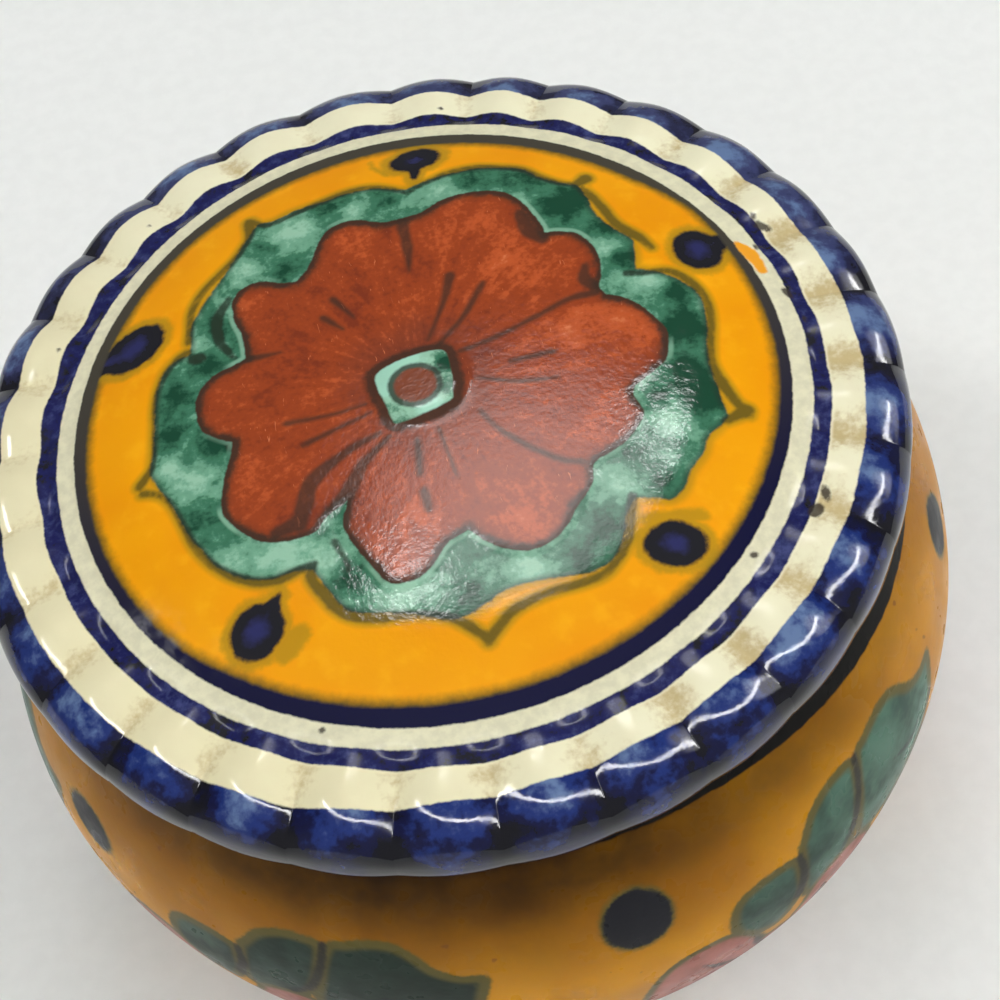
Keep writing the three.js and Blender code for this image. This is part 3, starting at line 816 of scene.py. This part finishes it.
def on_top(values):
    """A field worked out everywhere, kept on the lid's upper side alone."""
    return np.where(upper_face, values, OUTSIDE_PAINT)


def dabs(table):
    """Soft round dabs of paint on the face: the sum of weight * exp(-(distance / size)^2)."""
    return on_face(sum(weight * np.exp(-((face_x - at_x) ** 2 + (face_y - at_y) ** 2) / size ** 2)
                       for at_x, at_y, size, weight in table), 0.0)


def beyond(edge):
    """How far each point lies outside a painted ring's edge, which runs straight from one of its
    marked places round the lid to the next."""
    places = np.array(edge)
    return lid_radius - np.interp(lid_degrees, places[:, 0], places[:, 1], period=360)


dots = np.maximum.reduce([depth_in_oval(face_x, face_y, *dot) for dot in DOTS])
dots = np.maximum(dots, depth_in_strokes(DOT_TAILS, face_x, face_y))
halo = depth_in_strokes(HALO_STROKES, face_x, face_y)
flower, cloud = (np.vstack([brushed(lobe) for lobe in lobes]) for lobes in (PETALS, CLOUD))
scallops = BAND_SCALLOP * wave * np.exp(-(((lid_degrees + 180) % 360 - 180) / SCALLOP_SPREAD) ** 2)
lay(lid, {
    "flower": on_face(depth_in_shape(flower, face_x, face_y)),
    "flower_line": on_face(depth_in_strokes(PETAL_LINES, face_x, face_y)),
    "cloud": on_face(depth_in_shape(cloud, face_x, face_y)),
    "cloud_line": on_face(depth_in_strokes(CLOUD_LINES, face_x, face_y)),
    "dot": on_face(dots),
    "halo": on_face(np.maximum(halo, dots + 0.9)),
    "heart": on_face(depth_in_shape(brushed(HEART, True), face_x, face_y)),
    "heart_dot": on_face(depth_in_oval(face_x, face_y, *HEART_DOT)),
    "splash": on_top(depth_in_strokes([SPLASH], lid_x, lid_y)),
    "speck": on_top(np.maximum.reduce([depth_in_oval(lid_x, lid_y, *speck) for speck in SPECKS])),
    "green_dab": dabs(GREEN_DABS),
    "petal_dab": dabs(PETAL_DABS),
    "past_ground": beyond(GROUND_EDGE),
    "past_inner_ring": beyond(INNER_RING_EDGE),
    "past_blue_start": beyond(BLUE_RING_START),
    "past_blue_end": beyond(BLUE_RING_END),
    "past_band": beyond(BAND_START) - scallops,
    "left_side": smooth_step(-lid_x - 0.4 * lid_y, 0, 45),
    "right_side": smooth_step(lid_x - 0.5 * lid_y, 5, 50),
    "valley": valley,
    "lip": np.where(lid_rows >= edge_row - 5, lid_height(LID_RADIUS) - lid_level, 0.0),
    "painted": np.where(painted, 1.0, 0.0),
    "bare_clay": np.where(~painted & (bare_seat | (lid_level < BARE_RING_END)), 1.0, 0.0),
})

CREAM_WARM = tint(226, 218, 184)
CREAM_OLD = tint(224, 214, 170)
YELLOW = tint(238, 160, 4)
YELLOW_DEEP = tint(232, 148, 0)
YELLOW_LIGHT = tint(246, 176, 20)
SPLASH_YELLOW = tint(236, 160, 40)
MINT_PALE = tint(160, 210, 186)
MINT = tint(146, 192, 164)
GREEN_LIGHT = tint(106, 158, 130)
GREEN_MID = tint(58, 112, 86)
GREEN_DARK = tint(24, 68, 48)
BRICK = tint(148, 63, 29)
BRICK_DEEP = tint(122, 50, 28)
BRICK_LIGHT = tint(184, 84, 40)
BRICK_PALE = tint(206, 116, 70)
BRICK_SHADE = tint(96, 52, 40)
BRICK_EDGE = tint(92, 48, 30)
HEART_RED = tint(122, 62, 38)
NAVY = tint(24, 27, 78)
NAVY_BLACK = tint(28, 28, 34)
COBALT = tint(44, 46, 96)
BLUE_RING_PALE = tint(62, 70, 118)
GROUND_RING_FRONT = tint(12, 13, 50)
GROUND_RING_BACK = tint(66, 62, 52)
THIN_RING = tint(224, 220, 188)
THIN_RING_DULL = tint(210, 206, 176)
BLUE_WASH = tint(96, 118, 156)
BAND_FRONT = (tint(14, 14, 22), tint(12, 16, 56), tint(26, 44, 106))
BAND_BACK = (tint(24, 24, 30), tint(36, 38, 66), tint(56, 62, 100))
LIP_GREY = tint(70, 70, 90)
SMUDGE = tint(186, 164, 112)
LID_SPECK = tint(52, 44, 40)
LINE = tint(58, 44, 34)
LINE_ON_GREEN = tint(38, 50, 38)
LINE_ON_YELLOW = tint(96, 82, 26)
OLIVE_STAIN = tint(166, 132, 22)
LID_GLOSS = 0.4


def ramp(value, *stops):
    """A colour that runs smoothly through (place, colour) stops as the value goes from 0 to 1."""
    made = value.tree.nodes.new("ShaderNodeValToRGB")
    made.color_ramp.interpolation = "EASE"
    points = made.color_ramp.elements
    while len(points) < len(stops):
        points.new(0.5)
    for point, (place, colour) in zip(points, stops):
        point.position = place
        point.color = colour
    value.tree.links.new(value.socket, made.inputs["Fac"])
    return Shade(made.outputs["Color"])


def blend(*shares):
    """A half, plus the weighted sum of how far some values between 0 and 1 lie from a half."""
    first, *others = (value * weight for value, weight in shares)
    return sum(others, first) + (0.5 - 0.5 * sum(weight for value, weight in shares))


def vector(tree, operation, inputs, output=0):
    """A direction or place worked out from others, or a length or product of them."""
    return add(tree, "ShaderNodeVectorMath", inputs, output, operation=operation)


def lid_glaze():
    """Layers as they were brushed on: cream glaze, yellow ground, green cloud, flower, lines, rings."""
    material, tree, place = new_material("lid_paint")
    fine = grain(place, 0.6, 3)
    rough = grain(place, 1.5, 3, 0.6)
    coarse = grain(place, 4, 3, 0.55)
    cloudy = grain(place, 13, 2)
    middle = (-LID_MIDDLE[0] * MM, -LID_MIDDLE[1] * MM, 0)
    centred = add(tree, "ShaderNodeMapping", {"Vector": place, "Location": middle, "Scale": (1, 1, 0)})
    distance = vector(tree, "LENGTH", {0: centred}, "Value")
    fan = vector(tree, "SCALE", {0: vector(tree, "NORMALIZE", {0: centred}), "Scale": 0.011})
    spoke = vector(tree, "ADD", {0: fan, 1: add(tree, "ShaderNodeCombineXYZ", {"Z": distance * 0.2})})
    streak = grain(spoke, 0.7, 3, 0.6)
    broad_streak = grain(spoke, 2.2, 2, 0.5, 0.4)
    slanted = add(tree, "ShaderNodeMapping", {"Vector": place, "Rotation": (0, 0, 0.7),
                                              "Scale": (1, 0.2, 0)})
    scratch = grain(slanted, 0.3, 1, 0.4, 1.0)
    waver = blend((rough, 0.35), (fine, 0.15)) - 0.5
    front = step(add(tree, "ShaderNodeSeparateXYZ", {0: centred}, output="Y"), 0.02, -0.03)
    valley = field(tree, "valley")
    right_side = field(tree, "right_side")
    past_ground = field(tree, "past_ground")
    past_blue_end = field(tree, "past_blue_end")

    def past(name, soft=0.14):
        """1 outside a ring's edge, 0 inside it, with the fine waver of a brush held to a turning lid."""
        return step(field(tree, name) + waver, -soft, soft)

    cream = cover(step(coarse, 0.35, 0.7, 0, 0.4), CREAM, CREAM_WARM)
    cream = cover(field(tree, "left_side") * 0.6, cream, CREAM_OLD)
    dirt = blend((fine, 0.5), (rough, 0.7), (coarse, 0.7), (valley, 0.65), (right_side, 0.3))
    cream = cover(step(dirt, 0.4, 1.0, 0, 0.85) * step(past_blue_end, -0.1, 0.5), cream, SMUDGE)

    yellow = cover(step(cloudy, 0.35, 0.7), YELLOW, YELLOW_DEEP)
    yellow = cover(step(coarse, 0.5, 0.75, 0, 0.5), yellow, YELLOW_LIGHT)
    yellow = cover(step(past_ground + waver * 2, -1.5, 0.2, 0, 0.95), yellow, LINE_ON_YELLOW)
    halo = step(field(tree, "halo") + (rough - 0.5), -0.4, 0.5, 0, 0.75)
    yellow = cover(halo, yellow, OLIVE_STAIN)

    cloud = field(tree, "cloud") + 0.5
    cloud_line = field(tree, "cloud_line")
    stain = greater(step(cloud, -1.3, 0.0), step(cloud_line, -0.9, 0.0))
    yellow = cover(stain * 0.75, yellow, OLIVE_STAIN)
    wash = blend((coarse, 0.7), (rough, 0.6), (fine, 0.25), (cloudy, 0.35)) + field(tree, "green_dab") * 0.4
    green = ramp(wash, (0.12, MINT), (0.36, GREEN_LIGHT), (0.56, GREEN_MID), (0.84, GREEN_DARK))
    green = cover(step(cloud + rough, 1.5, 0.5, 0, 0.65), green, LINE_ON_GREEN)
    cloud_paint = step(cloud + waver * 1.6, -0.2, 0.25)
    line_on = cover(cloud_paint, LINE_ON_YELLOW, LINE_ON_GREEN)
    ground = cover(cloud_paint, yellow, green)
    ground = cover(step(cloud_line + waver, -0.25, 0.3, 0, 0.9), ground, line_on)

    petal = field(tree, "flower")
    ground = cover(step(petal, -0.75, -0.35) * step(cloudy, 0.5, 0.6, 0, 0.6), ground, MINT)
    tone = blend((broad_streak, 0.5), (streak, 0.45), (coarse, 0.3), (rough, 0.35), (fine, 0.4))
    tone = tone + field(tree, "petal_dab") * -0.2
    red = ramp(tone, (0.24, BRICK_DEEP), (0.5, BRICK), (0.72, BRICK_LIGHT), (0.95, BRICK_PALE))
    red = cover(step(distance + coarse * 0.006, 0.0075, 0.0155, 0.5, 0), red, BRICK_SHADE)
    red = cover(step(scratch, 0.73, 0.8, 0, 0.8), red, BRICK_PALE)
    line_width = blend((rough, 1.4), (coarse, 1.0))
    red = cover(step(petal - line_width * 1.2, 1.6, -0.6, 0, 0.6), red, BRICK_EDGE)
    red = cover(step(petal - (line_width + 0.3), 0.45, -0.5, 0, 0.9), red, LINE)
    red = cover(step(field(tree, "flower_line") + waver * 1.5, -0.35, 0.4, 0, 0.8), red, LINE)
    ground = cover(step(petal + waver, -0.15, 0.15), ground, red)

    heart = field(tree, "heart")
    ground = cover(step(heart + rough * 1.4, -0.9, -0.1, 0, 0.85), ground, LINE)
    heart_green = ramp(wash, (0.2, MINT_PALE), (0.5, MINT), (0.75, GREEN_MID), (1.0, GREEN_DARK))
    ground = cover(step(heart + waver, -0.1, 0.25), ground, heart_green)
    heart_dot = field(tree, "heart_dot") + waver
    ground = cover(step(heart_dot, -0.6, -0.1, 0, 0.9), ground, LINE_ON_GREEN)
    ground = cover(step(heart_dot, 0.1, 0.7), ground, HEART_RED)
    dot = field(tree, "dot")
    core = cover(step(dot + blend((rough, 1.6), (coarse, 0.8)), 1.6, 2.9, 0, 0.85), NAVY_BLACK, COBALT)
    ground = cover(step(dot + waver * 2, -0.3, 0.3), ground, core)

    ground_ring = cover(front, GROUND_RING_BACK, GROUND_RING_FRONT)
    colour = cover(step(past_ground + waver, -0.25, 0.3), ground, ground_ring)
    colour = cover(past("past_inner_ring"), colour, cover(step(rough, 0.3, 0.7), THIN_RING, THIN_RING_DULL))
    colour = cover(edged(field(tree, "splash"), rough, 0.8, 0.2), colour, SPLASH_YELLOW)
    tide = blend((rough, 1.3), (broad_streak, 0.7))
    blue_ring = ramp(tide, (0.25, NAVY_BLACK), (0.45, NAVY), (0.95, BLUE_RING_PALE))
    colour = cover(past("past_blue_start"), colour, blue_ring)
    colour = cover(past("past_blue_end"), colour, cream)
    colour = cover(step(field(tree, "speck") + waver, -0.2, 0.15, 0, 0.9), colour, LID_SPECK)
    # The band is painted a little lighter towards the right, as a painted sheen where the light from the
    # right falls on it.
    tide = blend((broad_streak, 1.0), (rough, 0.7), (coarse, 0.9), (valley, -0.5), (right_side, 0.08))
    tide = tide - step(field(tree, "past_band"), 1.5, 5.0, 0.0, 0.35)
    bands = [ramp(tide, *zip(places, (*colours, BLUE_WASH))) for places, colours in (
        ((0.1, 0.34, 0.58, 0.95), BAND_BACK), ((0.1, 0.32, 0.55, 0.95), BAND_FRONT))]
    band = cover(step(field(tree, "lip") + waver, 3.8, 5.0, 0, 0.8), cover(front, *bands), LIP_GREY)
    colour = cover(past("past_band"), colour, band)
    colour = cover(field(tree, "painted"), CREAM, colour)

    ripple = grain(place, 0.8, 2, 0.6) * step(past_ground, -5, -1, 0.026, 0.003)
    relief = ripple + coarse * 0.03 + step(petal, -1.2, 0.8, 0, 0.06)
    satin = step(field(tree, "past_blue_start"), -1.4, -0.7) * step(past_blue_end, 0.6, -0.4)
    fired(material, colour, relief, greater(step(rough, 0.3, 0.75, 0.04, 0.12), satin * 0.2), LID_GLOSS)
    return material


lid.data.materials.append(lid_glaze())
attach(lid, "lid")
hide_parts("lid")

# Table and light
# The box stands on a plain pale table in a dim room, under a soft lamp with two small ones beside
# it, half a ring of thin light, and a broad lamp to the right.

TABLE_SIZE = 6.0
TABLE_LIGHT = tint(235, 237, 234)
TABLE_DARK = tint(232, 234, 231)
HAZE_START, HAZE_END = 0.5, 1.4  # metres away, where the table fades into the pale room
ROOM_SEEN = 0.9
LAMP_AIM = 70  # height over the table that the lamps look at
RING_LAMP = dict(azimuth=20, elevation=66, radius=1580, soft=0.04, radiance=27.0, inner=0.9, outer=0.99,
                 gap=(0.342, -0.94, 0))
SOFT_LAMP = dict(azimuth=9, elevation=62, radius=350, soft=0.75, radiance=4.8)
LEFT_SPOT = dict(azimuth=-8.5, elevation=65.2, radius=85, soft=0.8, radiance=12.0)
RIGHT_SPOT = dict(azimuth=25.9, elevation=57.1, radius=85, soft=0.8, radiance=14.0)
SIDE_LAMP = dict(azimuth=85, elevation=35, radius=450, soft=0.6, radiance=3.7)


def stand(thing, side, up, back, place):
    """Puts a thing at a place in millimetres, with its own x, y and z along three directions."""
    bpy.context.scene.collection.objects.link(thing)
    rows = [[side[k], up[k], back[k], place[k] * MM] for k in range(3)]
    thing.matrix_world = Matrix(rows + [[0, 0, 0, 1]])


def lamp(name, azimuth, elevation, radius, soft, radiance, inner=-1.0, outer=1.0, gap=None, distance=1500):
    """A round lamp that looks at the box: azimuth is degrees to the right of +Y. It shines between
    two shares of its radius, fades out over the outer `soft` share, and leaves out the sector
    towards its gap. A disc that radiates evenly gives pi * area * radiance."""
    turn, rise = math.radians(azimuth), math.radians(elevation)
    back = np.array([math.sin(turn) * math.cos(rise), math.cos(turn) * math.cos(rise), math.sin(rise)])
    light = bpy.data.lights.new(name, "AREA")
    light.shape = "DISK"
    light.size = 2 * radius * MM
    light.energy = math.pi * (math.pi * (radius * MM) ** 2) * radiance
    light.use_nodes = True
    tree = light.node_tree
    spot = add(tree, "ShaderNodeNewGeometry", {}, output="Parametric")
    centred = vector(tree, "SUBTRACT", {0: spot, 1: (0.5, 0.5, 0)})
    flat = vector(tree, "MULTIPLY", {0: centred, 1: (2, 2, 0)})
    share = vector(tree, "LENGTH", {0: flat}, "Value")
    shine = step(share, inner - 0.02, inner + 0.02) * step(share, outer, outer - soft)
    if gap:
        shine = shine * step(vector(tree, "DOT_PRODUCT", {0: flat, 1: gap}, "Value"), 0.06, -0.1)
    tree.links.new(shine.socket, tree.nodes["Emission"].inputs["Strength"])
    made = bpy.data.objects.new(name, light)
    made.visible_camera = False
    side = np.cross((0, 0, 1), back)
    side /= np.linalg.norm(side)
    stand(made, side, np.cross(back, side), back, back * distance + [0, 0, LAMP_AIM])


lamp("ring_lamp", **RING_LAMP)
lamp("soft_lamp", **SOFT_LAMP)
lamp("left_spot", **LEFT_SPOT)
lamp("right_spot", **RIGHT_SPOT)
lamp("side_lamp", **SIDE_LAMP)


def table_top():
    """A matt pale table, which far away fades into the room's brightness where it is seen."""
    material, tree, place = new_material("table_top")
    shader = tree.nodes["Principled BSDF"]
    colour = cover(step(grain(place, 3, 3), 0.3, 0.7), TABLE_DARK, TABLE_LIGHT)
    tree.links.new(colour.socket, shader.inputs["Base Color"])
    shader.inputs["Roughness"].default_value = 0.7
    shader.inputs["Specular IOR Level"].default_value = 0.0
    seen = add(tree, "ShaderNodeLightPath", {}, output="Is Camera Ray")
    haze = step(vector(tree, "LENGTH", {0: place}, "Value"), HAZE_START, HAZE_END) * seen
    far = add(tree, "ShaderNodeEmission", {"Color": (1, 1, 1, 1), "Strength": ROOM_SEEN})
    mixed = add(tree, "ShaderNodeMixShader", {0: haze, 1: Shade(shader.outputs[0]), 2: far})
    tree.links.new(mixed.socket, tree.nodes["Material Output"].inputs["Surface"])
    return material


half = TABLE_SIZE / 2
table_mesh = bpy.data.meshes.new("table")
corners = [(-half, -half, 0), (half, -half, 0), (half, half, 0), (-half, half, 0)]
table_mesh.from_pydata(corners, [], [(0, 1, 2, 3)])
table_mesh.materials.append(table_top())
table = bpy.data.objects.new("table", table_mesh)
bpy.context.scene.collection.objects.link(table)

world = bpy.data.worlds.new("room")
bpy.context.scene.world = world
world.use_nodes = True
room = world.node_tree
direction = add(room, "ShaderNodeTexCoord", {}, output="Generated")
ceiling = step(add(room, "ShaderNodeSeparateXYZ", {0: direction}, output="Z"), 0.7, 0.99, 0.0, 0.12)
walls = step(add(room, "ShaderNodeSeparateXYZ", {0: direction}, output="Y"), 0.3, -0.5, 0.145, 0.37)
camera_ray = add(room, "ShaderNodeLightPath", {}, output="Is Camera Ray")
strength = add(room, "ShaderNodeMix", {0: camera_ray, 2: ceiling + walls, 3: ROOM_SEEN}, data_type="FLOAT")
background = room.nodes["Background"]
background.inputs["Color"].default_value = (1, 1, 1, 1)
room.links.new(strength.socket, background.inputs["Strength"])

# Camera
# It looks down at the box from in front, a little turned, as the photograph does.

CAMERA_PLACE = (-1.01, -140.6, 259.8)
CAMERA_YAW = 2.40
CAMERA_PITCH = 56.02
CAMERA_ROLL = -12.61

yaw, pitch, roll = (math.radians(v) for v in (CAMERA_YAW, CAMERA_PITCH, CAMERA_ROLL))
forward = np.array([math.sin(yaw) * math.cos(pitch), math.cos(yaw) * math.cos(pitch), -math.sin(pitch)])
level = np.array([math.cos(yaw), -math.sin(yaw), 0])
upright = np.cross(level, forward)
right = math.cos(roll) * level + math.sin(roll) * upright
up = math.cos(roll) * upright - math.sin(roll) * level
camera_data = bpy.data.cameras.new("camera")
camera_data.lens = 72
camera_data.sensor_width = 36
camera_data.clip_start = 0.01
camera = bpy.data.objects.new("camera", camera_data)
stand(camera, right, up, -forward, CAMERA_PLACE)
bpy.context.scene.camera = camera
bpy.context.scene.view_settings.view_transform = "Standard"
